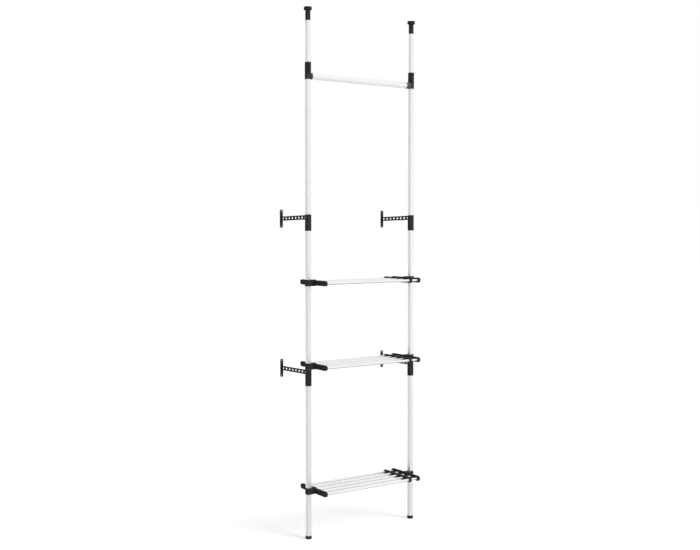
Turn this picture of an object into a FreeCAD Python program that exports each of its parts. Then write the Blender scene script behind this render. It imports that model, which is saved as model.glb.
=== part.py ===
import FreeCAD, Part
import os

from FreeCAD import Vector
from math import atan2, degrees

# Telescopic closet organizer: two floor-to-ceiling posts, a clothes rod, three tube shelves
# and four wall arms.
# Millimetres, +Z up, +X to the right, +Y towards the wall.
# The origin lies on the floor, in the middle of the footprint.

# Clearances
push_gap = 0.1          # on each side, between pieces pushed together
slide_gap = 0.3         # on each side, between pieces that slide

# Posts
post_spacing = 642.0    # between the axes of the two posts
tube_side = 22.0
tube_wall = 1.2
tube_corner = 1.5
lower_tube_length = 763.0
middle_tube_length = 689.0
upper_tube_length = 695.0

# Foot caps
foot_base = 4.0         # thickness under the tube
foot_height = 16.0
foot_wall = 0.8
foot_plug_height = 10.0 # inside the tube
foot_edge = 0.6

# Connectors between the tubes
connector_side = 23.8
connector_height = 81.0
connector_edge = 0.6
spigot_length = 40.0
spigot_wall = 3.0

# Wall arms
wall_distance = 258.0   # from the post axis to the wall
arm_height = 22.0
arm_thickness = 3.0
arm_drop = 13.5         # arm axis below the top of its connector
arm_droop = 6.0         # fall of the arm from the post to the wall
arm_root = 9.5          # reach of the hidden end in front of the post axis
arm_slot_length = 17.0
arm_slot_height = 9.5
arm_slot_pitch = 30.4
arm_slot_start = 26.0   # from the post axis to the first slot
arm_slot_count = 8
arm_screw_y = 6.0
arm_travel = 10.0       # fine setting of the wall distance
arm_screw_diameter = 4.0
arm_screw_reach = 8.0   # past the post axis
arm_head_diameter = 8.0
arm_head_height = 2.4
arm_key_width = 2.5
plate_width = 18.0
plate_waist = 16.7
plate_thickness = 3.0
plate_hole_spacing = 76.0
plate_hole_diameter = 5.0

# Rod brackets at the top of the upper tubes
bracket_wall = 0.8      # around the upper tube
bracket_height = 84.5
bracket_edge = 0.8
bracket_socket = 32.0   # depth over the upper tube
rod_rise = 16.0         # rod axis above the bottom of the bracket
left_boss_reach = 21.0  # from the left post axis to the shoulder that stops the rod
right_boss_reach = 34.0 # the same, from the right post axis
rod_spigot_length = 25.0

# Clothes rod
rod_diameter = 32.0
rod_wall = 1.4
rod_setback = 40.0      # from the right post axis to the end of the outer tube
rod_room = 60.0         # free length inside the outer tube
bush_wall = 1.0
bush_lip = 3.0
bush_length = 18.0
inner_rod_wall = 1.2

# Lock levers on the rod brackets
lever_width = 13.0
lever_length = 44.0
lever_thickness = 2.6
lever_barrel = 4.6
lever_drop = 8.0        # hinge below the top of the bracket
lever_lip_height = 4.0
lever_lip_depth = 1.2
ear_thickness = 1.6
ear_height = 6.0
ear_round = 1.5
pin_diameter = 2.0
lock_pad_width = 8.0
lock_pad_height = 12.0
lock_pad_drop = 26.0    # below the top of the bracket

# Extension tubes
extension_wall = 1.2
extension_corner = 1.2
extension_reach = 202.5 # from the bracket to the ceiling cap
extension_room = 210.0  # from the connector below to the lower end of the tube
glide_height = 12.0
glide_plug = 20.0       # inside the extension tube

# Ceiling caps on the extension tubes, each with a sprung head and a pad
cap_height = 51.0       # from the end of the tube to the rim of the head
cap_spigot = 20.0       # inside the extension tube
cap_edge = 0.4
head_diameter = 40.0
head_cover = 2.5        # of the head over the end of the cap
head_travel = 6.0
head_roof = 2.5
head_edge = 0.8
stem_diameter = 10.0
stem_length = 36.0
pad_diameter = 39.0
pad_height = 3.0
pad_edge = 1.0
spring_length = 25.0
spring_diameter = 8.0   # to the middle of the wire
spring_wire = 1.2
spring_turns = 7

# Shelves
shelf_1_drop = 257.5    # below the upper connectors
shelf_2_gap = 0.5       # above the lower connectors
shelf_3_height = 240.0  # above the floor
shelf_tube_count = 5
shelf_tube_pitch = 52.5
shelf_tube_diameter = 13.0
shelf_tube_wall = 0.8
shelf_tube_room = 60.0  # free length inside the outer tubes
end_bar_height = 26.0
end_bar_thickness = 13.0
end_bar_inset = 32.0    # from the post axis to the middle of the bar
end_bar_edge = 1.5
end_bar_socket = 9.0
comb_thickness = 11.0
comb_inset = 86.0       # from the right post axis to the middle of the comb
comb_stop = 3.0         # lip of the comb that stops the outer tubes
clamp_wall = 1.2
clamp_height = 32.0
clamp_edge = 1.5
clamp_boss_diameter = 11.0
clamp_boss_length = 4.0
clamp_screw_diameter = 5.0
clamp_head_diameter = 8.5
clamp_head_height = 5.0
clamp_key_width = 4.0
key_depth = 1.6

# Sizes that follow
tube_bore = tube_side - 2 * tube_wall
extension_side = tube_bore - 2 * slide_gap
extension_bore = extension_side - 2 * extension_wall
guide_bore = extension_side + 2 * slide_gap
bracket_side = tube_side + 2 * push_gap + 2 * bracket_wall
post_bore = tube_side + 2 * slide_gap
clamp_side = post_bore + 2 * clamp_wall
rod_bore = rod_diameter - 2 * rod_wall
bush_bore = rod_bore - 2 * push_gap - 2 * bush_wall
inner_rod_diameter = bush_bore - 2 * slide_gap
inner_rod_bore = inner_rod_diameter - 2 * inner_rod_wall
shelf_tube_bore = shelf_tube_diameter - 2 * shelf_tube_wall
inner_tube_diameter = shelf_tube_bore - 2 * slide_gap
inner_tube_bore = inner_tube_diameter - 2 * shelf_tube_wall
end_bar_length = (shelf_tube_count - 1) * shelf_tube_pitch + end_bar_height
arm_angle = degrees(atan2(arm_droop, wall_distance))
post_plane = (end_bar_length / 2 - wall_distance) / 2
lever_back = -bracket_side / 2 - slide_gap
hinge_y = lever_back - lever_barrel / 2
ear_inside = lever_width / 2 + slide_gap
ear_outside = ear_inside + ear_thickness

# Levels above the floor
lower_connector_z = foot_base + lower_tube_length
middle_tube_z = lower_connector_z + connector_height
upper_connector_z = middle_tube_z + middle_tube_length
upper_tube_z = upper_connector_z + connector_height
upper_tube_top = upper_tube_z + upper_tube_length
bracket_z = upper_tube_top - bracket_socket
bracket_top = bracket_z + bracket_height
rod_z = bracket_z + rod_rise
lever_z = bracket_top - lever_drop
lock_pad_z = bracket_top - lock_pad_drop
extension_z = upper_tube_z + spigot_length + extension_room
extension_top = bracket_top + extension_reach
head_z = extension_top + cap_height
cap_top = head_z + head_cover
head_ceiling = cap_top + head_travel + slide_gap
head_top = head_ceiling + head_roof
stem_z = head_ceiling - stem_length
spring_z = stem_z - spring_length
shelf_levels = {
    "shelf_1": upper_connector_z - shelf_1_drop,
    "shelf_2": middle_tube_z + shelf_2_gap + clamp_height / 2,
    "shelf_3": shelf_3_height,
}

TINY = 0.001


def box(x_low, x_high, y_low, y_high, z_low, z_high):
    """Block between pairs of planes."""
    corner = Vector(x_low, y_low, z_low)
    return Part.makeBox(x_high - x_low, y_high - y_low, z_high - z_low, corner)


def round_bar(diameter, start, end):
    """Cylinder from one point to another."""
    axis = end - start
    return Part.makeCylinder(diameter / 2, axis.Length, start, axis)


def round_tube(diameter, bore, start, end):
    """Hollow cylinder from one point to another."""
    return round_bar(diameter, start, end).cut(round_bar(bore, start, end))


def on_axis(z):
    """Point of the post axis."""
    return Vector(0, 0, z)


def on_rod(x):
    """Point of the rod axis."""
    return Vector(x, 0, rod_z)


def square_bar(side, z_low, z_high, corner):
    """Upright bar on the post axis, with rounded corners."""
    half = side / 2
    bar = box(-half, half, -half, half, z_low, z_high)
    return bar.makeFillet(corner, edges_along(bar, "Z"))


def square_tube(side, bore, z_low, z_high, corner):
    """Upright square tube on the post axis."""
    inside = square_bar(bore, z_low, z_high, corner / 2)
    return square_bar(side, z_low, z_high, corner).cut(inside)


def edges_along(shape, axis):
    """Straight edges of a shape that run along an axis."""
    others = [name for name in "XYZ" if name != axis]
    return [
        edge for edge in shape.Edges
        if all(getattr(edge.BoundBox, name + "Length") < TINY for name in others)
    ]


def edges_at(shape, axis, place):
    """Edges of a shape that lie in a plane across an axis."""
    return [
        edge for edge in shape.Edges
        if abs(getattr(edge.BoundBox, axis + "Min") - place) < TINY
        and abs(getattr(edge.BoundBox, axis + "Max") - place) < TINY
    ]


def stadium(length, height, x_low, x_high, y_mid, z_mid):
    """Plate across X with straight long sides along Y and round ends."""
    reach = (length - height) / 2
    plate = box(x_low, x_high, y_mid - reach, y_mid + reach, z_mid - height / 2, z_mid + height / 2)
    for y in (y_mid - reach, y_mid + reach):
        plate = plate.fuse(round_bar(height, Vector(x_low, y, z_mid), Vector(x_high, y, z_mid)))
    return plate.removeSplitter()


def key_socket(width, start, axis):
    """Hexagon across its flats, cut into a screw from a point along an axis."""
    slab = box(-width, width, -width / 2, width / 2, 0, key_depth)
    socket = slab
    for turn in (60, 120):
        socket = socket.common(slab.rotated(Vector(0, 0, 0), Vector(0, 0, 1), turn))
    socket.Placement = FreeCAD.Placement(start, FreeCAD.Rotation(Vector(0, 0, 1), axis))
    return socket


def socket_screw(diameter, crown_diameter, crown_height, key_width, top, tip):
    """Screw with a round crown and a key socket, from the top of its crown to its tip."""
    axis = (tip - top).normalize()
    seat = top + axis * crown_height
    screw = round_bar(crown_diameter, top, seat).fuse(round_bar(diameter, seat, tip))
    return screw.cut(key_socket(key_width, top, axis))


def foot_cap():
    well_side = tube_side + 2 * push_gap
    cap = square_bar(well_side + 2 * foot_wall, 0, foot_height, tube_corner + foot_wall)
    cap = cap.makeFillet(foot_edge, edges_at(cap, "Z", foot_height))
    well = square_bar(well_side, foot_base, foot_height, tube_corner)
    plug_side = tube_bore - 2 * push_gap
    plug = square_bar(plug_side, foot_base, foot_base + foot_plug_height, tube_corner / 2)
    return cap.cut(well).fuse(plug).removeSplitter()


def connector(z_low):
    """In-line joiner with a spigot into each tube and a pocket for a wall arm."""
    z_high = z_low + connector_height
    block = square_bar(connector_side, z_low, z_high, tube_corner)
    block = block.makeChamfer(connector_edge, edges_at(block, "Z", z_low) + edges_at(block, "Z", z_high))
    spigot_side = tube_bore - 2 * push_gap
    spigot_bore = spigot_side - 2 * spigot_wall
    for low in (z_low - spigot_length, z_high):
        spigot = square_tube(spigot_side, spigot_bore, low, low + spigot_length, tube_corner / 2)
        block = block.fuse(spigot)
    arm_z = z_high - arm_drop
    half = arm_thickness / 2 + slide_gap
    reach = arm_height / 2 + slide_gap
    pocket = box(-half, half, -arm_root - slide_gap, connector_side, arm_z - reach, arm_z + reach)
    pocket.rotate(on_axis(arm_z), Vector(1, 0, 0), -arm_angle)
    face = Vector(-connector_side / 2, arm_screw_y, arm_z)
    seat = face + Vector(arm_head_height, 0, 0)
    tip = Vector(arm_screw_reach, arm_screw_y, arm_z)
    hole = round_bar(arm_screw_diameter + 2 * push_gap, face, tip)
    recess = round_bar(arm_head_diameter + 2 * push_gap, face, seat)
    return block.cut([pocket, hole, recess]).removeSplitter()


def arm_screw(z_low):
    arm_z = z_low + connector_height - arm_drop
    top = Vector(-connector_side / 2, arm_screw_y, arm_z)
    tip = Vector(arm_screw_reach, arm_screw_y, arm_z)
    return socket_screw(arm_screw_diameter, arm_head_diameter, arm_head_height, arm_key_width, top, tip)


def wall_arm(z_low):
    """Slotted strip with an upright plate for two wall screws."""
    arm_z = z_low + connector_height - arm_drop
    half = arm_thickness / 2
    reach = arm_height / 2
    strip_end = wall_distance - plate_thickness / 2
    strip = box(-half, half, -arm_root, strip_end, arm_z - reach, arm_z + reach)
    slots = []
    for place in range(arm_slot_count):
        y = arm_slot_start + place * arm_slot_pitch
        slots.append(stadium(arm_slot_length, arm_slot_height, -half, half, y, arm_z))
    screw_slot_height = arm_screw_diameter + 2 * slide_gap
    screw_slot_length = screw_slot_height + arm_travel + 2 * slide_gap
    screw_slot_y = arm_screw_y - arm_travel / 2
    slots.append(stadium(screw_slot_length, screw_slot_height, -half, half, screw_slot_y, arm_z))
    strip = strip.cut(slots)
    strip.rotate(on_axis(arm_z), Vector(1, 0, 0), -arm_angle)
    plate_z = arm_z - arm_droop
    front = wall_distance - plate_thickness
    rise = plate_hole_spacing / 2
    plate = box(-plate_waist / 2, plate_waist / 2, front, wall_distance, plate_z - rise, plate_z + rise)
    holes = []
    for z in (plate_z - rise, plate_z + rise):
        plate = plate.fuse(round_bar(plate_width, Vector(0, front, z), Vector(0, wall_distance, z)))
        holes.append(round_bar(plate_hole_diameter, Vector(0, front, z), Vector(0, wall_distance, z)))
    return strip.fuse(plate.removeSplitter().cut(holes)).removeSplitter()


def rod_bracket(boss_reach, spigot_diameter):
    """Sleeve on the upper tube that guides the extension tube and carries one end of the rod."""
    half = bracket_side / 2
    bracket = square_bar(bracket_side, bracket_z, bracket_top, tube_corner + bracket_wall)
    bracket = bracket.makeChamfer(bracket_edge, edges_at(bracket, "Z", bracket_top))
    spigot_end = boss_reach + rod_spigot_length
    bracket = bracket.fuse(round_bar(rod_diameter, on_rod(tube_side / 2), on_rod(boss_reach)))
    bracket = bracket.fuse(round_bar(spigot_diameter, on_rod(boss_reach), on_rod(spigot_end)))
    ear_front = hinge_y - lever_barrel / 2
    ear_low = lever_z - ear_height / 2
    ear_high = lever_z + ear_height / 2
    for x_low, x_high in ((ear_inside, ear_outside), (-ear_outside, -ear_inside)):
        ear = box(x_low, x_high, ear_front, -half, ear_low, ear_high)
        front_edges = [edge for edge in edges_along(ear, "X") if edge.BoundBox.YMax < hinge_y]
        bracket = bracket.fuse(ear.makeFillet(ear_round, front_edges))
    socket_low = bracket_z - rod_diameter
    tube_socket = square_bar(tube_side + 2 * push_gap, socket_low, upper_tube_top, tube_corner)
    guide = square_bar(guide_bore, upper_tube_top, bracket_top, extension_corner)
    pin_hole = hinge_bar(pin_diameter + 2 * push_gap, ear_outside)
    pad_half = lock_pad_width / 2 + push_gap
    pad_rise = lock_pad_height / 2 + push_gap
    window = box(-pad_half, pad_half, -half, 0, lock_pad_z - pad_rise, lock_pad_z + pad_rise)
    return bracket.cut([tube_socket, guide, pin_hole, window]).removeSplitter()


def hinge_bar(diameter, reach):
    """Round bar on the hinge axis of a lock lever."""
    return round_bar(diameter, Vector(-reach, hinge_y, lever_z), Vector(reach, hinge_y, lever_z))


def lock_lever():
    """Flat lever on the front of a rod bracket, hinged at its top."""
    half = lever_width / 2
    front = lever_back - lever_thickness
    foot_z = lever_z - lever_length
    blade = box(-half, half, front, lever_back, foot_z, lever_z)
    lip = box(-half, half, front - lever_lip_depth, lever_back, foot_z, foot_z + lever_lip_height)
    lever = blade.fuse([lip, hinge_bar(lever_barrel, half)]).removeSplitter()
    return lever.cut(hinge_bar(pin_diameter + 2 * slide_gap, half))


def lock_pad():
    """Brake block between a lever and the extension tube."""
    half = lock_pad_width / 2
    rise = lock_pad_height / 2
    back = -extension_side / 2 - slide_gap
    return box(-half, half, -bracket_side / 2, back, lock_pad_z - rise, lock_pad_z + rise)


def extension_glide():
    """Guide on the lower end of the extension tube."""
    glide_side = tube_bore - 2 * push_gap
    plug_side = extension_bore - 2 * push_gap
    glide = square_bar(glide_side, extension_z - glide_height, extension_z, tube_corner / 2)
    return glide.fuse(square_bar(plug_side, extension_z, extension_z + glide_plug, extension_corner / 2))


def ceiling_cap():
    """Block on the end of the extension tube, with a bore for the stem of the head and its spring."""
    block = square_bar(extension_side, extension_top, cap_top, extension_corner)
    block = block.makeChamfer(cap_edge, edges_at(block, "Z", cap_top))
    spigot_side = extension_bore - 2 * push_gap
    spigot = square_bar(spigot_side, extension_top - cap_spigot, extension_top, extension_corner / 2)
    bore = round_bar(stem_diameter + 2 * slide_gap, on_axis(spring_z), on_axis(cap_top))
    return block.fuse(spigot).cut(bore)


def ceiling_head():
    """Round head that slides over the end of its cap, on a stem."""
    head = round_bar(head_diameter, on_axis(head_z), on_axis(head_top))
    head = head.makeChamfer(head_edge, edges_at(head, "Z", head_z))
    recess = square_bar(guide_bore, head_z, head_ceiling, extension_corner + slide_gap)
    return head.cut(recess).fuse(round_bar(stem_diameter, on_axis(stem_z), on_axis(head_ceiling)))


def ceiling_pad():
    top = head_top + pad_height
    pad = round_bar(pad_diameter, on_axis(head_top), on_axis(top))
    return pad.makeFillet(pad_edge, edges_at(pad, "Z", top))


def head_spring():
    """Coil spring between the bottom of the bore in a cap and the stem of its head."""
    radius = spring_diameter / 2
    low = spring_z + spring_wire / 2 + push_gap
    rise = spring_length - spring_wire - 2 * push_gap
    helix = Part.makeHelix(rise / spring_turns, rise, radius)
    wire_end = Part.Wire(Part.makeCircle(spring_wire / 2, Vector(radius, 0, 0), Vector(0, 1, 0)))
    spring = Part.Wire(helix).makePipeShell([wire_end], True, True)
    return spring.translated(on_axis(low))


def tube_places():
    """Distances of the shelf tubes from the plane of the posts."""
    first = -(shelf_tube_count - 1) * shelf_tube_pitch / 2
    return [first + place * shelf_tube_pitch for place in range(shelf_tube_count)]


def shelf_bracket(level, socket_diameter):
    """End bar with tube sockets, and a clamp block that slides on the post."""
    bar_out = end_bar_inset - end_bar_thickness / 2
    bar_in = end_bar_inset + end_bar_thickness / 2
    bar = stadium(end_bar_length, end_bar_height, bar_out, bar_in, 0, level)
    bar = bar.makeFillet(end_bar_edge, edges_at(bar, "X", bar_out) + edges_at(bar, "X", bar_in))
    half = clamp_side / 2
    z_low = level - clamp_height / 2
    z_high = level + clamp_height / 2
    block = box(-half, bar_in, -half, half, z_low, z_high)
    block = block.makeFillet(clamp_edge, edges_along(block, "Z"))
    boss_end = half + clamp_boss_length
    boss = round_bar(clamp_boss_diameter, Vector(0, tube_side / 2, level), Vector(0, boss_end, level))
    hole = round_bar(clamp_screw_diameter + 2 * push_gap, on_axis(level), Vector(0, boss_end, level))
    cuts = [square_bar(post_bore, z_low, z_high, tube_corner + slide_gap), hole]
    for y in tube_places():
        bottom = Vector(bar_in - end_bar_socket, y, level)
        cuts.append(round_bar(socket_diameter, bottom, Vector(bar_in, y, level)))
    return bar.fuse([block, boss]).cut(cuts).removeSplitter()


def clamp_screw(level):
    top = Vector(0, clamp_side / 2 + clamp_boss_length + clamp_head_height, level)
    tip = Vector(0, post_bore / 2, level)
    return socket_screw(
        clamp_screw_diameter, clamp_head_diameter, clamp_head_height, clamp_key_width, top, tip
    )


def shelf_comb(level):
    """Plate that joins the free ends of the outer tubes and guides the inner tubes."""
    face_out = comb_inset - comb_thickness / 2
    face_in = comb_inset + comb_thickness / 2
    comb = stadium(end_bar_length, end_bar_height, face_out, face_in, 0, level)
    comb = comb.makeFillet(end_bar_edge, edges_at(comb, "X", face_out) + edges_at(comb, "X", face_in))
    cuts = []
    for y in tube_places():
        stop = Vector(face_out + comb_stop, y, level)
        cuts.append(round_bar(shelf_tube_diameter + 2 * push_gap, stop, Vector(face_in, y, level)))
        cuts.append(round_bar(shelf_tube_bore, Vector(face_out, y, level), stop))
    return comb.cut(cuts)


def shelf_tubes(level, diameter, bore, x_low, x_high):
    """One row of shelf tubes."""
    row = []
    for y in tube_places():
        row.append(round_tube(diameter, bore, Vector(x_low, y, level), Vector(x_high, y, level)))
    return Part.makeCompound(row)


def write(name, shape):
    """Set a shape on the plane of the posts and write it out."""
    shape.translated(Vector(0, post_plane, 0)).exportStep("parts/" + name + ".step")


def on_left(shape):
    return shape.translated(Vector(-post_spacing / 2, 0, 0))


def on_right(shape):
    return on_left(shape).mirror(Vector(0, 0, 0), Vector(1, 0, 0))


os.makedirs("parts", exist_ok=True)

# Posts
post_pieces = {
    "foot_cap": foot_cap(),
    "lower_tube": square_tube(tube_side, tube_bore, foot_base, lower_connector_z, tube_corner),
    "lower_connector": connector(lower_connector_z),
    "middle_tube": square_tube(tube_side, tube_bore, middle_tube_z, upper_connector_z, tube_corner),
    "upper_connector": connector(upper_connector_z),
    "upper_tube": square_tube(tube_side, tube_bore, upper_tube_z, upper_tube_top, tube_corner),
    "fixings": Part.makeCompound([
        arm_screw(lower_connector_z),
        arm_screw(upper_connector_z),
        hinge_bar(pin_diameter, ear_outside),
    ]),
    "lock_lever": lock_lever(),
    "lock_pad": lock_pad(),
    "extension_tube": square_tube(
        extension_side, extension_bore, extension_z, extension_top, extension_corner
    ),
    "extension_glide": extension_glide(),
    "ceiling_cap": ceiling_cap(),
    "ceiling_head": ceiling_head(),
    "ceiling_pad": ceiling_pad(),
    "head_spring": head_spring(),
    "lower_wall_arm": wall_arm(lower_connector_z),
    "upper_wall_arm": wall_arm(upper_connector_z),
}
for name, shape in post_pieces.items():
    write("left_" + name, on_left(shape))
    write("right_" + name, on_right(shape))
left_rod_spigot = rod_bore - 2 * push_gap
right_rod_spigot = inner_rod_bore - 2 * push_gap
write("left_rod_bracket", on_left(rod_bracket(left_boss_reach, left_rod_spigot)))
write("right_rod_bracket", on_right(rod_bracket(right_boss_reach, right_rod_spigot)))

# Clothes rod
rod_left = -post_spacing / 2 + left_boss_reach
rod_end = post_spacing / 2 - rod_setback
inner_rod_left = rod_left + rod_spigot_length + rod_room
inner_rod_right = post_spacing / 2 - right_boss_reach
write("rod_outer_tube", round_tube(rod_diameter, rod_bore, on_rod(rod_left), on_rod(rod_end)))
inner_rod = round_tube(inner_rod_diameter, inner_rod_bore, on_rod(inner_rod_left), on_rod(inner_rod_right))
write("rod_inner_tube", inner_rod)
bush_diameter = rod_bore - 2 * push_gap
bush_sleeve = round_tube(bush_diameter, bush_bore, on_rod(rod_end - bush_length), on_rod(rod_end))
bush_rim = round_tube(rod_diameter, bush_bore, on_rod(rod_end), on_rod(rod_end + bush_lip))
write("rod_end_bush", bush_sleeve.fuse(bush_rim).removeSplitter())

# Shelves
outer_left = -post_spacing / 2 + end_bar_inset + end_bar_thickness / 2 - end_bar_socket
outer_right = post_spacing / 2 - comb_inset + comb_thickness / 2 - comb_stop
inner_left = outer_left + end_bar_socket + shelf_tube_room
inner_right = -outer_left
outer_socket = shelf_tube_diameter + 2 * push_gap
inner_socket = inner_tube_diameter + 2 * push_gap
for shelf, level in shelf_levels.items():
    outer_tubes = shelf_tubes(level, shelf_tube_diameter, shelf_tube_bore, outer_left, outer_right)
    inner_tubes = shelf_tubes(level, inner_tube_diameter, inner_tube_bore, inner_left, inner_right)
    write(shelf + "_left_bracket", on_left(shelf_bracket(level, outer_socket)))
    write(shelf + "_right_bracket", on_right(shelf_bracket(level, inner_socket)))
    write(shelf + "_comb", on_right(shelf_comb(level)))
    write(shelf + "_left_screw", on_left(clamp_screw(level)))
    write(shelf + "_right_screw", on_right(clamp_screw(level)))
    write(shelf + "_outer_tubes", outer_tubes)
    write(shelf + "_inner_tubes", inner_tubes)
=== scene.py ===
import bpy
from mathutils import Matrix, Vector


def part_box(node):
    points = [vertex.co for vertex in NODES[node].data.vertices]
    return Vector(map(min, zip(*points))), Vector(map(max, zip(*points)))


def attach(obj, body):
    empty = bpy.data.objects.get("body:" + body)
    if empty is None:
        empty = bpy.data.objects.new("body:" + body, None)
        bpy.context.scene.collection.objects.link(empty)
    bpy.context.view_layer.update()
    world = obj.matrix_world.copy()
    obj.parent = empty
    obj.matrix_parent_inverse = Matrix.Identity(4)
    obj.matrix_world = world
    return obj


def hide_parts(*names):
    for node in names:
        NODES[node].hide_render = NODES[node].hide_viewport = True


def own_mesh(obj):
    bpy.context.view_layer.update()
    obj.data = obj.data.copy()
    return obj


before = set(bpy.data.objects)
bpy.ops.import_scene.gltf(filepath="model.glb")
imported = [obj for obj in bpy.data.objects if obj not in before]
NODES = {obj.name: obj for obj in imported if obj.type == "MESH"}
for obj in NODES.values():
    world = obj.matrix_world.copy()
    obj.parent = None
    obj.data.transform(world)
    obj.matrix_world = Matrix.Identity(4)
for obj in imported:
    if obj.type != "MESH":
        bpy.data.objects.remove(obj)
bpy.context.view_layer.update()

from math import cos, pi, radians, sin

import bmesh
import bpy
from bpy.props import FloatProperty, FloatVectorProperty, IntProperty, PointerProperty
from mathutils import Vector

bl_info = {
    "name": "Telescopic closet dressing",
    "version": (1, 0, 0),
    "blender": (4, 5, 0),
    "location": "3D View > Sidebar > Closet",
    "description": "Finishes, moulded details and studio for a telescopic closet organizer",
    "category": "Object",
}

SIDES = ("left", "right")
SHELVES = ("shelf_1", "shelf_2", "shelf_3")
MM = 0.001
WHITE = (1.0, 1.0, 1.0, 1.0)

# Points round and along the small round forms
RIB_SIDES = 12
RIB_POINTS = 13
RING_SIDES = 10
RING_POINTS = 72
KNURL_SIDES = 6
RIM_SIDES = 8
RIM_POINTS = 40
COIL_SIDES = 10
COIL_POINTS = 28

# How a grip rib thins towards its ends
RIB_TAPER = 6.0
RIB_END_SHARE = 0.25

# Grain of the finishes, in cells per metre along X, Y and Z
UPRIGHT_LINES = (1500.0, 1500.0, 5.0)
LEVEL_LINES = (5.0, 1500.0, 1500.0)
METAL_CLOUDS = (7.0, 7.0, 7.0)
TOOL_MARKS = (900.0, 900.0, 900.0)
STEEL_STAINS = (160.0, 160.0, 160.0)
FITTING_GRAIN = (2100.0, 2100.0, 2100.0)
ARM_GRAIN = (1200.0, 1200.0, 1200.0)
PLASTIC_FLOW = (38.0, 38.0, 14.0)
PLASTIC_SPECKS = (1100.0, 1100.0, 1100.0)
RUBBER_PITS = (950.0, 950.0, 950.0)
RUBBER_BLOOM = (70.0, 70.0, 70.0)
NYLON_FLOW = (60.0, 60.0, 25.0)
NYLON_SKIN = (1300.0, 1300.0, 1300.0)


# Settings

def colour_setting(name, description, default):
    return FloatVectorProperty(
        name=name, description=description, default=default, subtype="COLOR", size=3, min=0.0, max=1.0
    )


def length_setting(name, description, default):
    return FloatProperty(
        name=name, description=description, default=default,
        subtype="DISTANCE", unit="LENGTH", precision=5,
    )


def place_setting(name, description, default):
    return FloatVectorProperty(
        name=name, description=description, default=default,
        subtype="TRANSLATION", unit="LENGTH", size=3,
    )


def angle_setting(name, description, degrees):
    return FloatProperty(
        name=name, description=description, default=radians(degrees), subtype="ANGLE", unit="ROTATION"
    )


def camera_length_setting(name, description, millimetres):
    return FloatProperty(
        name=name, description=description, default=millimetres,
        subtype="DISTANCE_CAMERA", unit="CAMERA", min=1.0,
    )


def share_setting(name, description, default):
    return FloatProperty(
        name=name, description=description, default=default, subtype="FACTOR", min=0.0, max=1.0
    )


def strength_setting(name, description, default):
    return FloatProperty(name=name, description=description, default=default, min=0.0)


def count_setting(name, description, default, least=1):
    return IntProperty(name=name, description=description, default=default, min=least)


class ClosetFinishes(bpy.types.PropertyGroup):
    """Colours and sheen of the materials"""

    tube_colour: colour_setting("Post tubes", "Satin aluminium of the posts", (0.715, 0.717, 0.722))
    tube_roughness: share_setting("Post roughness", "Mean roughness of the posts", 0.45)
    # painted shade: share of the posts' colour left on their rounded corners, which are darkened
    painted_corner_shade: share_setting("Corner shade", "Share of the colour left on the posts' drawn corners", 0.7)
    rod_colour: colour_setting("Clothes rod", "Bright aluminium of the rod", (0.805, 0.806, 0.81))
    rod_roughness: share_setting("Rod roughness", "Mean roughness of the rod", 0.6)
    shelf_colour: colour_setting("Shelf tubes", "Bright aluminium of the shelves", (0.78, 0.781, 0.785))
    shelf_roughness: share_setting("Shelf roughness", "Mean roughness of the shelf tubes", 0.5)
    # painted shade: share of the shelf tubes' colour left on their undersides
    painted_underside_shade: share_setting("Underside shade", "Share of the colour left under the shelf tubes", 0.6)
    fitting_colour: colour_setting("Fittings", "Moulded black plastic", (0.034, 0.034, 0.0345))
    fitting_roughness: share_setting("Fitting roughness", "Mean roughness of the black plastic", 0.5)
    fitting_gloss: share_setting("Fitting gloss", "Specular level of the black plastic and coat", 0.04)
    # painted highlight: how much paler a rod bracket's foot and its socket are coloured
    band_highlight: strength_setting("Bracket band", "Times that a bracket's foot is paler than a fitting", 1.5)
    socket_highlight: strength_setting("Rod socket", "Times that a rod socket is paler than a fitting", 3.2)
    arm_colour: colour_setting("Wall arms", "Black coat of the wall arms", (0.022, 0.022, 0.0225))
    arm_roughness: share_setting("Arm roughness", "Mean roughness of the wall arms", 0.55)
    rubber_colour: colour_setting("Rubber", "Black rubber of the pads", (0.013, 0.013, 0.0135))
    nylon_colour: colour_setting("Nylon", "White nylon of the glides and the bush", (0.72, 0.72, 0.7))
    screw_colour: colour_setting("Screws", "Blackened steel of the screws", (0.06, 0.06, 0.065))
    screw_roughness: share_setting("Screw roughness", "Mean roughness of the screws", 0.42)
    spring_colour: colour_setting("Springs", "Bare spring steel", (0.5, 0.5, 0.52))
    spring_roughness: share_setting("Spring roughness", "Mean roughness of the springs", 0.3)


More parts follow.
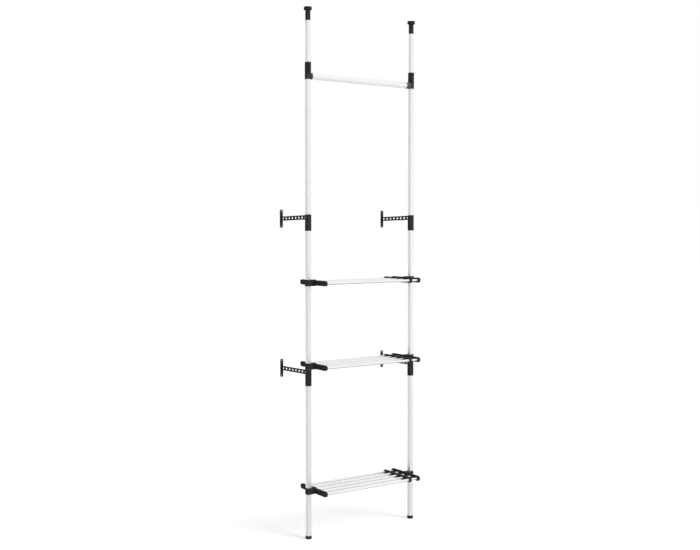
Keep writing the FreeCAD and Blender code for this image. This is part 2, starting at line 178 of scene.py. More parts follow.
class ClosetDetails(bpy.types.PropertyGroup):
    """Sizes of the moulded details"""

    rib_count: count_setting("Lever ribs", "Grip ribs on each lever", 6)
    rib_pitch: length_setting("Rib pitch", "Between grip ribs", 3.0 * MM)
    rib_length: length_setting("Rib length", "Across the lever", 9.5 * MM)
    rib_radius: length_setting("Rib radius", "Half thickness of a grip rib", 0.6 * MM)
    rib_start: length_setting("Rib start", "From the foot of the lever to the first rib", 7.0 * MM)
    lever_thickness: length_setting("Lever thickness", "Blade of the lock lever", 2.6 * MM)
    ring_count: count_setting("Pad rings", "Raised rings on each ceiling pad", 4)
    ring_first: length_setting("First ring", "Radius of the innermost ring", 4.0 * MM)
    ring_pitch: length_setting("Ring pitch", "Between rings", 4.0 * MM)
    ring_bead: length_setting("Ring bead", "Half thickness of a ring", 0.6 * MM)
    ring_rise: length_setting("Ring rise", "Height of a ring over the pad", 0.35 * MM)
    knurl_count: count_setting("Knurls", "Ridges round each screw head", 28, least=3)
    knurl_length: length_setting("Knurl length", "Along the screw head", 4.2 * MM)
    knurl_radius: length_setting("Knurl radius", "Half thickness of a ridge", 0.32 * MM)
    knurl_inset: length_setting("Knurl inset", "From the top of the head to the ridges", 0.4 * MM)
    tubes: count_setting("Tubes per shelf", "Tubes side by side in a shelf", 5, least=2)
    rim_bead: length_setting("Rim bead", "Half thickness of the lip round a tube", 0.9 * MM)
    rim_gap: length_setting("Rim gap", "Between a lip and the hole for its tube", 0.35 * MM)
    coil_turns: count_setting("Spring turns", "Turns of each head spring", 7)
    coil_wire: length_setting("Spring wire", "Thickness of the spring wire", 1.2 * MM)


class ClosetStudio(bpy.types.PropertyGroup):
    """Camera, lamps and floor"""

    camera_place: place_setting("Camera", "Where the camera stands", (-3.0801, -4.4145, 1.566))
    camera_turn: angle_setting("Camera turn", "Heading of the camera, to the right of +Y", 34.72)
    camera_fall: angle_setting("Camera fall", "How far the camera looks down", 2.27)
    camera_lens: camera_length_setting("Lens", "Focal length", 53.522)
    camera_sensor: camera_length_setting("Sensor", "Width of the sensor", 36.0)
    camera_shift: FloatProperty(name="Shift", description="Vertical shift of the lens", default=-0.0125)
    key_light: strength_setting("Key light", "Light of the key lamp, per square metre", 1.7)
    key_source: place_setting("Key source", "Where the key lamp shines from", (1.5, -3.8, 2.8))
    top_light: strength_setting("Top light", "Light of the top lamp, per square metre", 0.35)
    top_source: place_setting("Top source", "Where the top lamp shines from", (0.6, -0.8, 4.0))
    lamp_spread: angle_setting("Lamp spread", "Width of the key and top lamps as the object sees it", 30.0)
    sheen_light: strength_setting("Sheen light", "Light of the wide low lamp, per square metre", 0.45)
    sheen_source: place_setting("Sheen source", "Where the wide low lamp shines from", (1.5, -3.7, 1.3))
    sheen_spread: angle_setting("Sheen spread", "Width of the wide low lamp as the object sees it", 75.0)
    panel_light: FloatProperty(
        name="Panel light", description="Power of the tall soft panel at the front right",
        default=4.6, subtype="POWER", unit="POWER",
    )
    panel_width: length_setting("Panel width", "Width of the soft panel", 0.9)
    panel_height: length_setting("Panel height", "Height of the soft panel", 2.4)
    panel_place: place_setting("Panel", "Where the middle of the soft panel stands", (2.8, -2.1, 1.22))
    ambient: strength_setting("Ambient", "Strength of the soft light all round", 0.24)
    floor_colour: colour_setting("Floor", "Pale studio floor", (0.86, 0.86, 0.86))
    floor_glow: strength_setting("Floor glow", "White that is seen on the floor besides its shade", 0.45)
    floor_size: length_setting("Floor size", "Side of the studio floor", 60.0)


# Node helpers

def add_node(tree, kind, inputs=None, **attributes):
    """A new node; an input given a socket is linked, and any other input is set."""
    made = tree.nodes.new(kind)
    for name, value in attributes.items():
        setattr(made, name, value)
    for name, value in (inputs or {}).items():
        if isinstance(value, bpy.types.NodeSocket):
            tree.links.new(value, made.inputs[name])
        else:
            made.inputs[name].default_value = value
    return made


def calc(tree, operation, *values):
    """The result of one sum on sockets and numbers."""
    made = add_node(tree, "ShaderNodeMath", dict(enumerate(values)), operation=operation)
    return made.outputs["Value"]


def combine(tree, **parts):
    """A vector from the parts given as X, Y and Z; a part left out is nothing."""
    return add_node(tree, "ShaderNodeCombineXYZ", parts).outputs["Vector"]


def split(tree, vector):
    """The sockets X, Y and Z of a vector."""
    return add_node(tree, "ShaderNodeSeparateXYZ", {"Vector": vector}).outputs


def coordinate(tree, kind):
    """The Object or Normal coordinate of a surface."""
    return add_node(tree, "ShaderNodeTexCoord").outputs[kind]


def spread(tree, value, low, high, start=0.3, end=0.7):
    """A value taken from one range to another; the range at first is the one that noise mostly fills."""
    return add_node(tree, "ShaderNodeMapRange", {
        "Value": value, "From Min": start, "From Max": end, "To Min": low, "To Max": high,
    }).outputs["Result"]


def uneven(tree, pattern, mean, less, more):
    """A roughness that wanders with a pattern from less to more than its mean."""
    return spread(tree, pattern, mean - less, mean + more)


def below(tree, value, limit, softness):
    """One where a value is well below a limit, falling softly to nothing at the limit."""
    return spread(tree, value, 1.0, 0.0, limit - softness, limit)


def noise(tree, scale, detail):
    """Noise on object coordinates, with a scale along each axis in cells per metre."""
    mapped = add_node(tree, "ShaderNodeMapping", {"Vector": coordinate(tree, "Object"), "Scale": scale})
    return add_node(tree, "ShaderNodeTexNoise", {
        "Vector": mapped.outputs["Vector"], "Scale": 1.0, "Detail": detail, "Roughness": 0.55,
    }).outputs["Fac"]


def shade(colour, share):
    """A share of a colour, no paler than white."""
    return (*(min(1.0, part * share) for part in colour), 1.0)


def blend_colours(tree, factor, first, second):
    """A mix of two colours, whose sockets go by number because the node has others of the same names."""
    made = add_node(tree, "ShaderNodeMix", {0: factor, 6: first, 7: second}, data_type="RGBA")
    return made.outputs[2]


def mottled(tree, pattern, colour, dark, pale, most=1.0):
    """A colour that wanders with a pattern between two shades of itself."""
    return blend_colours(tree, spread(tree, pattern, 0.0, most), shade(colour, dark), shade(colour, pale))


def edges(tree, radius, softness):
    """One along the edges of a piece, falling to nothing over a radius."""
    soft = add_node(tree, "ShaderNodeBevel", {"Radius": radius}, samples=4)
    true = add_node(tree, "ShaderNodeNewGeometry")
    match = add_node(
        tree, "ShaderNodeVectorMath",
        {0: soft.outputs["Normal"], 1: true.outputs["Normal"]}, operation="DOT_PRODUCT",
    )
    return below(tree, match.outputs["Value"], limit=1.0, softness=softness)


def corners(tree):
    """One on the rounded corners of an upright square tube, and nothing on its flat sides; the posts'
    painted shade goes there.
    """
    facing = coordinate(tree, "Normal")
    size = add_node(tree, "ShaderNodeVectorMath", {0: facing}, operation="ABSOLUTE").outputs["Vector"]
    parts = split(tree, size)
    level = calc(tree, "MAXIMUM", parts["X"], parts["Y"])
    flatness = calc(tree, "MAXIMUM", level, parts["Z"])
    return below(tree, flatness, limit=0.985, softness=0.185)


def undersides(tree):
    """One under a level tube, and nothing on its sides and top; the shelf tubes' painted shade goes there.
    """
    upward = split(tree, coordinate(tree, "Normal"))["Z"]
    return below(tree, upward, limit=-0.1, softness=0.5)


def new_surface(name, roughness, specular=0.5, metallic=0.0):
    """A material with a bare Principled shader, whose constants sit on its own sockets."""
    material = bpy.data.materials.new(name)
    material.use_nodes = True
    tree = material.node_tree
    tree.nodes.clear()
    shader = add_node(tree, "ShaderNodeBsdfPrincipled", {
        "Roughness": roughness, "Metallic": metallic, "Specular IOR Level": specular,
    })
    add_node(tree, "ShaderNodeOutputMaterial", {"Surface": shader.outputs["BSDF"]})
    return material, tree, shader


def finish_surface(tree, shader, colour, roughness, height, strength, depth):
    """Give a shader its colour, its roughness and a fine relief."""
    bump = add_node(tree, "ShaderNodeBump", {"Height": height, "Strength": strength, "Distance": depth})
    tree.links.new(colour, shader.inputs["Base Color"])
    tree.links.new(roughness, shader.inputs["Roughness"])
    tree.links.new(bump.outputs["Normal"], shader.inputs["Normal"])


# Finishes

def satin_aluminium(name, colour, roughness, grain, painted_shade_mask=None, painted_shade_share=1.0):
    """Anodised tube with fine drawn lines, faint clouds and, where a mask is given, painted shade on that
    part.
    """
    cloud_strength = 0.35
    cloud_shade = 0.95
    material, tree, shader = new_surface(name, roughness, metallic=1.0)
    lines = noise(tree, grain, detail=3.0)
    clouds = spread(tree, noise(tree, METAL_CLOUDS, detail=3.0), 0.0, cloud_strength)
    base = mottled(tree, lines, colour, dark=0.94, pale=1.04)
    base = blend_colours(tree, clouds, base, shade(colour, cloud_shade))
    # Painted shade: the masked part (the posts' corners, the shelf tubes' undersides) is darkened in its
    # colour.
    if painted_shade_mask:
        base = blend_colours(tree, painted_shade_mask(tree), base, shade(colour, painted_shade_share))
    sheen = uneven(tree, lines, roughness, less=0.07, more=0.07)
    finish_surface(tree, shader, base, sheen, height=lines, strength=0.05, depth=0.05 * MM)
    return material


def speckled(tree, specks, colour, share=1.0):
    """A share of a plastic's colour, with fine specks."""
    return mottled(tree, specks, colour, dark=0.82 * share, pale=1.2 * share)


def painted_bracket_highlights(tree, specks, colour, base, band_highlight, socket_highlight):
    """A rod bracket's painted highlights: paler round its foot, and paler still on the socket for the rod.
    """
    softness = 0.2 * MM
    rod_low, rod_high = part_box("rod_outer_tube")
    band_top = rod_low.z + rod_high.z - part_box("left_rod_bracket")[0].z
    sleeve_face = abs(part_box("left_upper_connector")[1].x)
    parts = split(tree, coordinate(tree, "Object"))
    reach = calc(tree, "ABSOLUTE", parts["X"])
    band = below(tree, parts["Z"], band_top, softness)
    socket = below(tree, reach, sleeve_face, softness)
    highlighted_band = blend_colours(tree, band, base, speckled(tree, specks, colour, band_highlight))
    return blend_colours(tree, socket, highlighted_band, speckled(tree, specks, colour, socket_highlight))


def moulded_plastic(name, colour, roughness, gloss, grain_scale, bracket_highlights=None):
    """Black plastic with fine grain, uneven sheen, rubbed edges and, if given, a rod bracket's painted
    highlights.
    """
    worn_shade = 2.6
    worn_polish = 0.16
    material, tree, shader = new_surface(name, roughness, gloss)
    grain = noise(tree, grain_scale, detail=2.0)
    flow = noise(tree, PLASTIC_FLOW, detail=4.0)
    specks = noise(tree, PLASTIC_SPECKS, detail=2.0)
    base = speckled(tree, specks, colour)
    # Painted highlight: a rod bracket's foot and socket get paler colours.
    if bracket_highlights:
        base = painted_bracket_highlights(tree, specks, colour, base, *bracket_highlights)
    rubbed = edges(tree, radius=0.9 * MM, softness=1 / 6)
    wear = calc(tree, "MULTIPLY", rubbed, spread(tree, flow, low=0.25, high=0.85))
    worn = blend_colours(tree, wear, base, shade(colour, worn_shade))
    sheen = uneven(tree, flow, roughness, less=0.07, more=0.09)
    polished = calc(tree, "SUBTRACT", sheen, calc(tree, "MULTIPLY", wear, worn_polish))
    finish_surface(tree, shader, worn, polished, height=grain, strength=0.35, depth=0.06 * MM)
    return material


def worked_steel(name, colour, roughness):
    """Steel with tool marks, stains and rubbed edges."""
    worn_shade = 2.4
    material, tree, shader = new_surface(name, roughness, metallic=1.0)
    marks = noise(tree, TOOL_MARKS, detail=3.0)
    stains = noise(tree, STEEL_STAINS, detail=3.0)
    stained = mottled(tree, stains, colour, dark=0.75, pale=1.25)
    rubbed = edges(tree, radius=0.35 * MM, softness=1 / 5)
    worn = blend_colours(tree, rubbed, stained, shade(colour, worn_shade))
    sheen = uneven(tree, marks, roughness, less=0.08, more=0.1)
    finish_surface(tree, shader, worn, sheen, height=marks, strength=0.2, depth=0.04 * MM)
    return material


def black_rubber(name, finishes):
    """Matt rubber with a dusty bloom and a pitted skin."""
    material, tree, shader = new_surface(name, roughness=0.8, specular=0.25)
    pits = noise(tree, RUBBER_PITS, detail=3.0)
    bloom = noise(tree, RUBBER_BLOOM, detail=4.0)
    dusted = mottled(tree, bloom, finishes.rubber_colour, dark=0.85, pale=2.0, most=0.6)
    sheen = spread(tree, bloom, low=0.72, high=0.9)
    finish_surface(tree, shader, dusted, sheen, height=pits, strength=0.4, depth=0.08 * MM)
    return material


def white_nylon(name, finishes):
    """Unpainted nylon with faint flow marks."""
    material, tree, shader = new_surface(name, roughness=0.42, specular=0.45)
    flow = noise(tree, NYLON_FLOW, detail=3.0)
    skin = noise(tree, NYLON_SKIN, detail=2.0)
    marked = mottled(tree, flow, finishes.nylon_colour, dark=0.94, pale=1.04)
    sheen = spread(tree, flow, low=0.36, high=0.5)
    finish_surface(tree, shader, marked, sheen, height=skin, strength=0.15, depth=0.04 * MM)
    return material


def post_aluminium(name, finishes):
    """The posts' aluminium, drawn upright, with painted shade on its rounded corners."""
    return satin_aluminium(
        name, finishes.tube_colour, finishes.tube_roughness, UPRIGHT_LINES, corners, finishes.painted_corner_shade
    )


def rod_aluminium(name, finishes):
    """The clothes rod's aluminium, drawn along the rod."""
    return satin_aluminium(name, finishes.rod_colour, finishes.rod_roughness, LEVEL_LINES)


def shelf_aluminium(name, finishes):
    """The shelves' aluminium, drawn along the tubes, with painted shade on their undersides."""
    return satin_aluminium(
        name, finishes.shelf_colour, finishes.shelf_roughness, LEVEL_LINES,
        undersides, finishes.painted_underside_shade,
    )


def moulded_black(name, finishes):
    """The plastic of most fittings."""
    return moulded_plastic(
        name, finishes.fitting_colour, finishes.fitting_roughness, finishes.fitting_gloss, FITTING_GRAIN
    )


def bracket_black_painted_highlights(name, finishes):
    """The same plastic with the painted highlights of a rod bracket."""
    return moulded_plastic(
        name, finishes.fitting_colour, finishes.fitting_roughness, finishes.fitting_gloss, FITTING_GRAIN,
        bracket_highlights=(finishes.band_highlight, finishes.socket_highlight),
    )


def arm_black(name, finishes):
    """The coarser coat of the wall arms."""
    return moulded_plastic(
        name, finishes.arm_colour, finishes.arm_roughness, finishes.fitting_gloss, ARM_GRAIN
    )


def black_screws(name, finishes):
    """Blackened steel of the screws and pins."""
    return worked_steel(name, finishes.screw_colour, finishes.screw_roughness)


def spring_steel(name, finishes):
    """Bare steel of the springs."""
    return worked_steel(name, finishes.spring_colour, finishes.spring_roughness)


def make_finish(maker):
    """The material of a maker's name, made the first time that it is asked for."""
    name = maker.__name__
    known = bpy.data.materials.get(name)
    return known or maker(name, bpy.context.scene.closet_finishes)


def dress(nodes, maker):
    """Give CAD nodes one finish."""
    material = make_finish(maker)
    for name in nodes:
        mesh = NODES[name].data
        mesh.materials.clear()
        mesh.materials.append(material)


def named(*endings):
    """The CAD nodes whose names end so."""
    return [name for name in NODES if name.endswith(endings)]


# Geometry Nodes

def new_tree(name, inputs):
    """A tree with named inputs; gives the tree and the sockets of its inputs by name."""
    tree = bpy.data.node_groups.new(name, "GeometryNodeTree")
    tree.interface.new_socket(name="Geometry", in_out="OUTPUT", socket_type="NodeSocketGeometry")
    for label, kind in inputs.items():
        tree.interface.new_socket(name=label, in_out="INPUT", socket_type="NodeSocket" + kind)
    return tree, add_node(tree, "NodeGroupInput").outputs


def close_tree(tree, geometry, material):
    """End a tree with smooth real geometry of one material."""
    smooth = add_node(tree, "GeometryNodeSetShadeSmooth", {"Geometry": geometry})
    real = add_node(tree, "GeometryNodeRealizeInstances", {"Geometry": smooth.outputs["Geometry"]})
    painted = add_node(
        tree, "GeometryNodeSetMaterial", {"Geometry": real.outputs["Geometry"], "Material": material}
    )
    add_node(tree, "NodeGroupOutput", {"Geometry": painted.outputs["Geometry"]})


def circle(tree, radius, points):
    """A round curve in the XY plane."""
    return add_node(
        tree, "GeometryNodeCurvePrimitiveCircle", {"Resolution": points, "Radius": radius}, mode="RADIUS"
    ).outputs["Curve"]


def line(tree, start, end):
    """A straight curve from one place to another."""
    return add_node(
        tree, "GeometryNodeCurvePrimitiveLine", {"Start": start, "End": end}, mode="POINTS"
    ).outputs["Curve"]


def sweep(tree, path, radius, sides):
    """A round bar along a path, with closed ends."""
    return add_node(tree, "GeometryNodeCurveToMesh", {
        "Curve": path, "Profile Curve": circle(tree, radius, sides), "Fill Caps": True,
    }).outputs["Mesh"]


def row(tree, count, start, step):
    """Points in a straight row."""
    return add_node(tree, "GeometryNodeMeshLine", {
        "Count": count, "Start Location": start, "Offset": step,
    }, mode="OFFSET").outputs["Mesh"]


def copies(tree, points, shape, **more):
    """A copy of a shape on each point."""
    return add_node(tree, "GeometryNodeInstanceOnPoints", {
        "Points": points, "Instance": shape, **more,
    }).outputs["Instances"]


def placed(tree, shape, **place):
    """A shape moved by a Translation or turned by a Rotation."""
    return add_node(tree, "GeometryNodeTransform", {"Geometry": shape, **place}).outputs["Geometry"]


def thickened(tree, path, radius):
    """A path whose bar is so many times as thick."""
    return add_node(tree, "GeometryNodeSetCurveRadius", {"Curve": path, "Radius": radius}).outputs["Curve"]


def grow(name, tree, runs):
    """One plain mesh object at the origin from a tree, run once for each set of input values."""
    items = tree.interface.items_tree
    sockets = {item.name: item.identifier for item in items if item.in_out == "INPUT"}
    joined = bmesh.new()
    material = None
    for values in runs:
        holder = bpy.data.objects.new(name + "_grow", bpy.data.meshes.new(name + "_grow"))
        bpy.context.scene.collection.objects.link(holder)
        modifier = holder.modifiers.new(tree.name, "NODES")
        modifier.node_group = tree
        for label, value in values.items():
            modifier[sockets[label]] = value
        grown = holder.evaluated_get(bpy.context.evaluated_depsgraph_get())
        mesh = bpy.data.meshes.new_from_object(grown)
        holder.modifiers.remove(modifier)
        joined.from_mesh(mesh)
        material = next(item for item in mesh.materials if item)
        bpy.data.objects.remove(holder)
    made = bpy.data.meshes.new(name)
    bmesh.ops.recalc_face_normals(joined, faces=joined.faces)
    for face in joined.faces:
        face.material_index = 0
    joined.to_mesh(made)
    joined.free()
    made.materials.append(material)
    piece = bpy.data.objects.new(name, made)
    bpy.context.scene.collection.objects.link(piece)
    return piece


def rib_tree(material):
    """A ladder of round-ended ribs, across X and set out along Z."""
    tree, given = new_tree("grip_ribs", {
        "Count": "Int", "Pitch": "Float", "Length": "Float", "Radius": "Float", "Start": "Vector",
    })
    half = calc(tree, "MULTIPLY", given["Length"], 0.5)
    back = calc(tree, "MULTIPLY", half, -1.0)
    path = line(tree, combine(tree, X=back), combine(tree, X=half))
    dotted = add_node(tree, "GeometryNodeResampleCurve", {"Curve": path, "Count": RIB_POINTS}, mode="COUNT")
    along = add_node(tree, "GeometryNodeSplineParameter").outputs["Factor"]
    centred = spread(tree, along, -1.0, 1.0, 0.0, 1.0)
    near_end = calc(tree, "POWER", centred, RIB_TAPER)
    thickness = spread(tree, near_end, 1.0, RIB_END_SHARE, 0.0, 1.0)
    shaped = thickened(tree, dotted.outputs["Curve"], thickness)
    rib = sweep(tree, shaped, given["Radius"], RIB_SIDES)
    points = row(tree, given["Count"], given["Start"], combine(tree, Z=given["Pitch"]))
    close_tree(tree, copies(tree, points, rib), material)
    return tree


def ring_tree(material):
    """Raised rings round one centre, in a level plane."""
    tree, given = new_tree("pad_rings", {
        "Count": "Int", "First": "Float", "Pitch": "Float", "Bead": "Float", "Centre": "Vector",
    })
    points = row(tree, given["Count"], given["Centre"], (0.0, 0.0, 0.0))
    index = add_node(tree, "GeometryNodeInputIndex").outputs["Index"]
    reach = calc(tree, "MULTIPLY_ADD", index, given["Pitch"], given["First"])
    size = combine(tree, X=reach, Y=reach, Z=reach)
    circles = copies(tree, points, circle(tree, 1.0, RING_POINTS), Scale=size)
    real = add_node(tree, "GeometryNodeRealizeInstances", {"Geometry": circles})
    even = thickened(tree, real.outputs["Geometry"], 1.0)
    close_tree(tree, sweep(tree, even, given["Bead"], RING_SIDES), material)
    return tree


def knurl_tree(material):
    """Ridges along Y, set out round a screw head."""
    tree, given = new_tree("screw_knurls", {
        "Count": "Int", "Reach": "Float", "Length": "Float", "Radius": "Float", "Centre": "Vector",
    })
    path = line(tree, (0.0, 0.0, 0.0), combine(tree, Y=given["Length"]))
    ridge = sweep(tree, path, given["Radius"], KNURL_SIDES)
    ring = add_node(tree, "GeometryNodeMeshCircle", {
        "Vertices": given["Count"], "Radius": given["Reach"],
    }, fill_type="NONE").outputs["Mesh"]
    upright = placed(tree, ring, Translation=given["Centre"], Rotation=(pi / 2, 0.0, 0.0))
    close_tree(tree, copies(tree, upright, ridge), material)
    return tree


def rim_tree(material):
    """Lips round a row of tubes along Y, in a plane across X."""
    tree, given = new_tree("socket_rims", {
        "Count": "Int", "Pitch": "Float", "Radius": "Float", "Bead": "Float", "Start": "Vector",
    })
    lip = sweep(tree, circle(tree, given["Radius"], RIM_POINTS), given["Bead"], RIM_SIDES)
    upright = placed(tree, lip, Rotation=(0.0, pi / 2, 0.0))
    points = row(tree, given["Count"], given["Start"], combine(tree, Y=given["Pitch"]))
    close_tree(tree, copies(tree, points, upright), material)
    return tree


def coil_tree(material):
    """A coil of round wire that stands on its centre."""
    tree, given = new_tree("spring_coil", {
        "Turns": "Float", "Radius": "Float", "Height": "Float", "Wire": "Float", "Foot": "Vector",
    })
    spiral = add_node(tree, "GeometryNodeCurveSpiral", {
        "Resolution": COIL_POINTS, "Rotations": given["Turns"], "Start Radius": given["Radius"],
        "End Radius": given["Radius"], "Height": given["Height"],
    })
    path = placed(tree, spiral.outputs["Curve"], Translation=given["Foot"])
    close_tree(tree, sweep(tree, path, given["Wire"], COIL_SIDES), material)
    return tree


# Studio

def set_camera(scene, studio):
    """A camera that looks along its heading, with a little lens shift."""
    camera = bpy.data.objects.new("camera", bpy.data.cameras.new("camera"))
    scene.collection.objects.link(camera)
    turn, fall = studio.camera_turn, studio.camera_fall
    heading = Vector((sin(turn) * cos(fall), cos(turn) * cos(fall), -sin(fall)))
    camera.location = studio.camera_place
    camera.rotation_euler = heading.to_track_quat("-Z", "Y").to_euler()
    camera.data.sensor_width = studio.camera_sensor
    camera.data.lens = studio.camera_lens
    camera.data.shift_y = studio.camera_shift
    scene.camera = camera


def aim_lamp(lamp, place, direction):
    """Stand a lamp in the scene, shining along a direction."""
    holder = bpy.data.objects.new(lamp.name, lamp)
    holder.location = place
    holder.rotation_euler = direction.to_track_quat("-Z", "Y").to_euler()
    bpy.context.scene.collection.objects.link(holder)
    return holder


def set_lamp(name, light, width, source, mirrored):
    """A wide, even lamp that shines from its source, which metal mirrors or doesn't."""
    lamp = bpy.data.lights.new(name, "SUN")
    lamp.energy = light
    lamp.angle = width
    aim_lamp(lamp, source, -Vector(source)).visible_glossy = mirrored


def set_panel(studio):
    """A tall soft panel that faces the right post, whose front it brightens."""
    lamp = bpy.data.lights.new("side_panel", "AREA")
    lamp.shape = "RECTANGLE"
    lamp.size = studio.panel_width
    lamp.size_y = studio.panel_height
    lamp.energy = studio.panel_light
    place = Vector(studio.panel_place)
    low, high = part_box("right_lower_tube")
    aim = (low + high) / 2
    aim.z = place.z
    aim_lamp(lamp, place, aim - place).visible_camera = False


def seen_directly(tree):
    """One for rays from the camera, from mirrors and through glass."""
    ray = add_node(tree, "ShaderNodeLightPath").outputs
    unbent = calc(tree, "MAXIMUM", ray["Is Camera Ray"], ray["Is Glossy Ray"])
    return calc(tree, "MAXIMUM", unbent, ray["Is Transmission Ray"])


def set_floor(studio):
    """A pale floor that keeps the object's shadow and looks nearly white."""
    half = studio.floor_size / 2
    outline = [(-half, -half, 0.0), (half, -half, 0.0), (half, half, 0.0), (-half, half, 0.0)]
    mesh = bpy.data.meshes.new("floor")
    mesh.from_pydata(outline, [], [(0, 1, 2, 3)])
    floor = bpy.data.objects.new("floor", mesh)
    bpy.context.scene.collection.objects.link(floor)
    material = bpy.data.materials.new("pale_floor")
    material.use_nodes = True
    tree = material.node_tree
    tree.nodes.clear()
    matt = add_node(tree, "ShaderNodeBsdfDiffuse", {"Color": (*studio.floor_colour, 1.0)})
    glow = calc(tree, "MULTIPLY", seen_directly(tree), studio.floor_glow)
    white = add_node(tree, "ShaderNodeEmission", {"Strength": glow})
    both = add_node(tree, "ShaderNodeAddShader", {0: matt.outputs["BSDF"], 1: white.outputs["Emission"]})
    add_node(tree, "ShaderNodeOutputMaterial", {"Surface": both.outputs["Shader"]})
    mesh.materials.append(material)


def set_surroundings(scene, studio):
    """Surroundings that look white and light the object softly."""
    world = bpy.data.worlds.new("studio")
    world.use_nodes = True
    tree = world.node_tree
    tree.nodes.clear()
    soft = add_node(tree, "ShaderNodeBackground", {"Color": WHITE, "Strength": studio.ambient})
    white = add_node(tree, "ShaderNodeBackground", {"Color": WHITE, "Strength": 1.0})
    mixed = add_node(tree, "ShaderNodeMixShader", {
        0: seen_directly(tree), 1: soft.outputs["Background"], 2: white.outputs["Background"],
    })
    add_node(tree, "ShaderNodeOutputWorld", {"Surface": mixed.outputs["Shader"]})
    scene.world = world


# Operators

class CLOSET_OT_posts(bpy.types.Operator):
    """Finish the square tubes of the posts"""

    bl_idname = "closet.posts"
    bl_label = "Post tubes"

    def execute(self, context):
        dress([name for name in named("_tube") if not name.startswith("rod")], post_aluminium)
        return {"FINISHED"}


class CLOSET_OT_rod(bpy.types.Operator):
    """Finish the clothes rod"""

    bl_idname = "closet.rod"
    bl_label = "Clothes rod"

    def execute(self, context):
        dress(["rod_outer_tube", "rod_inner_tube"], rod_aluminium)
        dress(["rod_end_bush"], white_nylon)
        return {"FINISHED"}


class CLOSET_OT_shelf_tubes(bpy.types.Operator):
    """Finish the tubes of the shelves"""

    bl_idname = "closet.shelf_tubes"
    bl_label = "Shelf tubes"

    def execute(self, context):
        dress(named("_tubes"), shelf_aluminium)
        return {"FINISHED"}


class CLOSET_OT_fittings(bpy.types.Operator):
    """Finish the moulded brackets, connectors, caps and levers"""

    bl_idname = "closet.fittings"
    bl_label = "Black fittings"

    def execute(self, context):
        dress(named("_bracket", "_connector", "_cap", "_head", "_comb", "_lever"), moulded_black)
        dress(named("_rod_bracket"), bracket_black_painted_highlights)
        return {"FINISHED"}


class CLOSET_OT_wall_arms(bpy.types.Operator):
    """Finish the slotted wall arms"""

    bl_idname = "closet.wall_arms"
    bl_label = "Wall arms"

    def execute(self, context):
        dress(named("_wall_arm"), arm_black)
        return {"FINISHED"}


class CLOSET_OT_small_parts(bpy.types.Operator):
    """Finish the pads, glides, screws and pins"""

    bl_idname = "closet.small_parts"
    bl_label = "Small parts"

    def execute(self, context):
        dress(named("_pad"), black_rubber)
        dress(named("_glide"), white_nylon)
        dress(named("_screw", "_fixings"), black_screws)
        dress(named("_spring"), spring_steel)
        return {"FINISHED"}


class CLOSET_OT_lever_ribs(bpy.types.Operator):
    """Set grip ribs on the lock levers"""

    bl_idname = "closet.lever_ribs"
    bl_label = "Lever ribs"

    def execute(self, context):
        details = context.scene.closet_details
        tree = rib_tree(make_finish(moulded_black))
        for side in SIDES:
            low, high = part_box(side + "_lock_lever")
            start = Vector((
                (low.x + high.x) / 2, high.y - details.lever_thickness, low.z + details.rib_start
            ))
            ribs = grow(side + "_lever_ribs", tree, [{
                "Count": details.rib_count, "Pitch": details.rib_pitch, "Length": details.rib_length,
                "Radius": details.rib_radius, "Start": start,
            }])
            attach(ribs, side + "_lever")
        return {"FINISHED"}


class CLOSET_OT_pad_rings(bpy.types.Operator):
    """Raise rings on the ceiling pads"""

    bl_idname = "closet.pad_rings"
    bl_label = "Pad rings"

    def execute(self, context):
        details = context.scene.closet_details
        tree = ring_tree(make_finish(black_rubber))
        for side in SIDES:
            low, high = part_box(side + "_ceiling_pad")
            centre = (low + high) / 2
            centre.z = high.z + details.ring_rise - details.ring_bead
            rings = grow(side + "_pad_rings", tree, [{
                "Count": details.ring_count, "First": details.ring_first, "Pitch": details.ring_pitch,
                "Bead": details.ring_bead, "Centre": centre,
            }])
            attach(rings, side + "_head")
        return {"FINISHED"}


class CLOSET_OT_screw_knurls(bpy.types.Operator):
    """Knurl the heads of the clamp screws"""

    bl_idname = "closet.screw_knurls"
    bl_label = "Screw knurls"

    def execute(self, context):
        details = context.scene.closet_details
        tree = knurl_tree(make_finish(black_screws))
        for shelf in SHELVES:
            for side in SIDES:
                low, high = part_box("%s_%s_screw" % (shelf, side))
                centre = (low + high) / 2
                centre.y = high.y - details.knurl_inset - details.knurl_length
                knurls = grow("%s_%s_knurls" % (shelf, side), tree, [{
                    "Count": details.knurl_count, "Reach": (high.x - low.x) / 2,
                    "Length": details.knurl_length, "Radius": details.knurl_radius, "Centre": centre,
                }])
                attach(knurls, "%s_%s" % (shelf, side))
        return {"FINISHED"}


def rim_row(details, shelf, face, tube_radius):
    """Tree inputs for the lips in one face of a shelf's fitting."""
    low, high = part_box(shelf + "_outer_tubes")
    half = (high.z - low.z) / 2
    span = high.y - low.y - 2 * half
    return {
        "Count": details.tubes, "Pitch": span / (details.tubes - 1),
        "Radius": tube_radius + details.rim_gap + details.rim_bead, "Bead": details.rim_bead,
        "Start": Vector((face, low.y + half, low.z + half)),
    }


class CLOSET_OT_socket_rims(bpy.types.Operator):
    """Raise a lip round every tube where it enters a bracket or a comb"""

    bl_idname = "closet.socket_rims"
    bl_label = "Socket rims"

    def execute(self, context):
        details = context.scene.closet_details
        tree = rim_tree(make_finish(moulded_black))
        for shelf in SHELVES:
            outer_low, outer_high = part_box(shelf + "_outer_tubes")
            inner_low, inner_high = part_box(shelf + "_inner_tubes")
            outer_radius = (outer_high.z - outer_low.z) / 2
            inner_radius = (inner_high.z - inner_low.z) / 2
            comb_low, comb_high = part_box(shelf + "_comb")
            left_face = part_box(shelf + "_left_bracket")[1].x
            right_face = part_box(shelf + "_right_bracket")[0].x
            left = grow(shelf + "_left_rims", tree, [
                rim_row(details, shelf, left_face, outer_radius),
                rim_row(details, shelf, comb_low.x, outer_radius),
                rim_row(details, shelf, comb_high.x, inner_radius),
            ])
            right = grow(shelf + "_right_rims", tree, [
                rim_row(details, shelf, right_face, inner_radius),
            ])
            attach(left, shelf + "_left")
            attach(right, shelf + "_right")
        return {"FINISHED"}


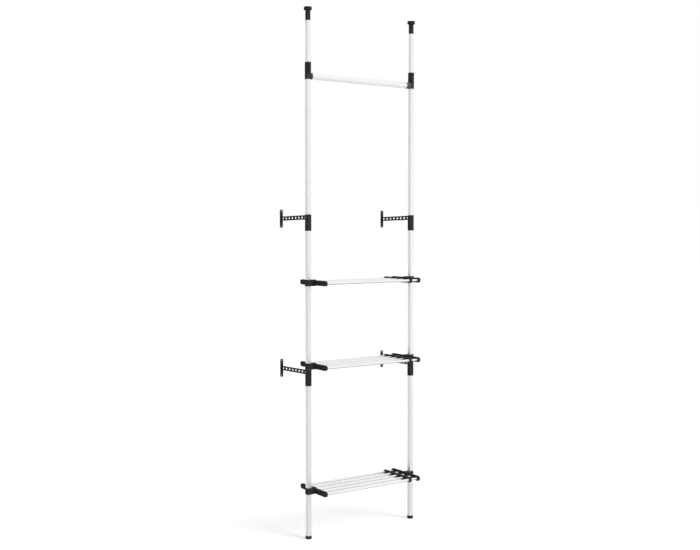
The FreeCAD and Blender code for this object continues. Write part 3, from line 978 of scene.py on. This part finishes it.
class CLOSET_OT_head_springs(bpy.types.Operator):
    """Wind the springs under the ceiling heads"""

    bl_idname = "closet.head_springs"
    bl_label = "Head springs"

    def execute(self, context):
        details = context.scene.closet_details
        tree = coil_tree(make_finish(spring_steel))
        for side in SIDES:
            low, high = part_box(side + "_head_spring")
            half_wire = details.coil_wire / 2
            foot = (low + high) / 2
            foot.z = low.z + half_wire
            coil = grow(side + "_head_coil", tree, [{
                "Turns": float(details.coil_turns), "Radius": (high.y - low.y) / 2 - half_wire,
                "Height": high.z - low.z - details.coil_wire, "Wire": half_wire, "Foot": foot,
            }])
            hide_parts(side + "_head_spring")
            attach(coil, side + "_extension")
            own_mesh(coil)
        return {"FINISHED"}


class CLOSET_OT_studio(bpy.types.Operator):
    """Set the camera, the lamps, the floor and the white surroundings"""

    bl_idname = "closet.studio"
    bl_label = "Studio"

    def execute(self, context):
        studio = context.scene.closet_studio
        context.scene.view_settings.view_transform = "Standard"
        set_camera(context.scene, studio)
        set_lamp("key_lamp", studio.key_light, studio.lamp_spread, studio.key_source, mirrored=False)
        set_lamp("top_lamp", studio.top_light, studio.lamp_spread, studio.top_source, mirrored=True)
        set_lamp("sheen_lamp", studio.sheen_light, studio.sheen_spread, studio.sheen_source, mirrored=True)
        set_panel(studio)
        set_floor(studio)
        set_surroundings(context.scene, studio)
        return {"FINISHED"}


# Panel and registration

class CLOSET_PT_panel(bpy.types.Panel):
    """The closet's pieces and their settings"""

    bl_idname = "CLOSET_PT_panel"
    bl_label = "Closet"
    bl_space_type = "VIEW_3D"
    bl_region_type = "UI"
    bl_category = "Closet"

    def draw(self, context):
        for operator in OPERATORS:
            self.layout.operator(operator.bl_idname)
        for group in GROUPS:
            settings = getattr(context.scene, group)
            for name in GROUPS[group].__annotations__:
                self.layout.prop(settings, name)


GROUPS = {
    "closet_finishes": ClosetFinishes,
    "closet_details": ClosetDetails,
    "closet_studio": ClosetStudio,
}
OPERATORS = (
    CLOSET_OT_posts,
    CLOSET_OT_rod,
    CLOSET_OT_shelf_tubes,
    CLOSET_OT_fittings,
    CLOSET_OT_wall_arms,
    CLOSET_OT_small_parts,
    CLOSET_OT_lever_ribs,
    CLOSET_OT_pad_rings,
    CLOSET_OT_screw_knurls,
    CLOSET_OT_socket_rims,
    CLOSET_OT_head_springs,
    CLOSET_OT_studio,
)
CLASSES = (*GROUPS.values(), *OPERATORS, CLOSET_PT_panel)


def register():
    for item in CLASSES:
        bpy.utils.register_class(item)
    for group, kind in GROUPS.items():
        setattr(bpy.types.Scene, group, PointerProperty(type=kind))


def unregister():
    for group in GROUPS:
        delattr(bpy.types.Scene, group)
    for item in reversed(CLASSES):
        bpy.utils.unregister_class(item)


def main():
    register()
    bpy.ops.closet.posts()
    bpy.ops.closet.rod()
    bpy.ops.closet.shelf_tubes()
    bpy.ops.closet.fittings()
    bpy.ops.closet.wall_arms()
    bpy.ops.closet.small_parts()
    bpy.ops.closet.lever_ribs()
    bpy.ops.closet.pad_rings()
    bpy.ops.closet.screw_knurls()
    bpy.ops.closet.socket_rims()
    bpy.ops.closet.head_springs()
    bpy.ops.closet.studio()


if __name__ == "__main__":
    main()
